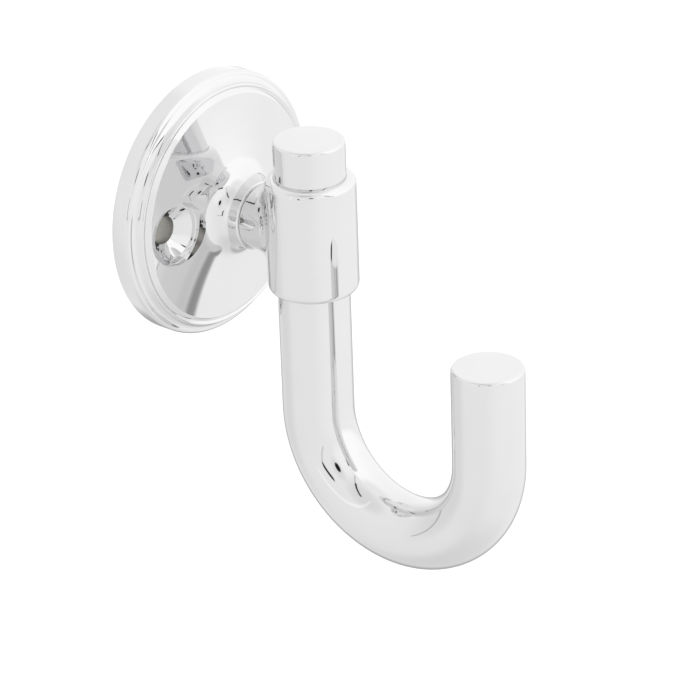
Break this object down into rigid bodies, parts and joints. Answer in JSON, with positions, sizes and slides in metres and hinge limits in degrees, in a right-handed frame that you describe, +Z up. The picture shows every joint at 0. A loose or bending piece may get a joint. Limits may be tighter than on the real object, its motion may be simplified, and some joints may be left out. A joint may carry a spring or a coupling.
{
  "type": "wall hook",
  "caption": "Polished chrome wall hook: a round rose with a coved rim and a flared neck, a sleeve on a short stem, and a J-shaped round bar held in the sleeve, for coats, robes and towels.",
  "frame": {"origin": "on the rose's axis, in the plane of the wall that the rose sits against", "axes": "+Y into the wall along the rose's axis, so the hook stands out along -Y; +Z up along the bar; +X to the right for someone facing the hook"},
  "size_m": [0.048, 0.0694, 0.0829],
  "materials": {
    "chrome": "polished chrome plate",
    "screw_steel": "zinc-plated steel",
    "washer_steel": "zinc-plated steel",
    "spring_steel": "plain spring steel",
    "pin_steel": "ground steel"
  },
  "bodies": {
    "wall_bracket": {"rose": "chrome", "sleeve": "chrome", "clamp_screw": "screw_steel", "plain_washer": "washer_steel", "lock_washer": "spring_steel", "locating_pin": "pin_steel"},
    "hook": {"hook_bar": "chrome"}
  },
  "joints": [
    {"name": "hook_swivel", "type": "hinge", "parent": "wall_bracket", "child": "hook", "pos_m": [0, -0.0251, 0], "axis": [0, 0, 1], "range_deg": [-110, 110]}
  ]
}
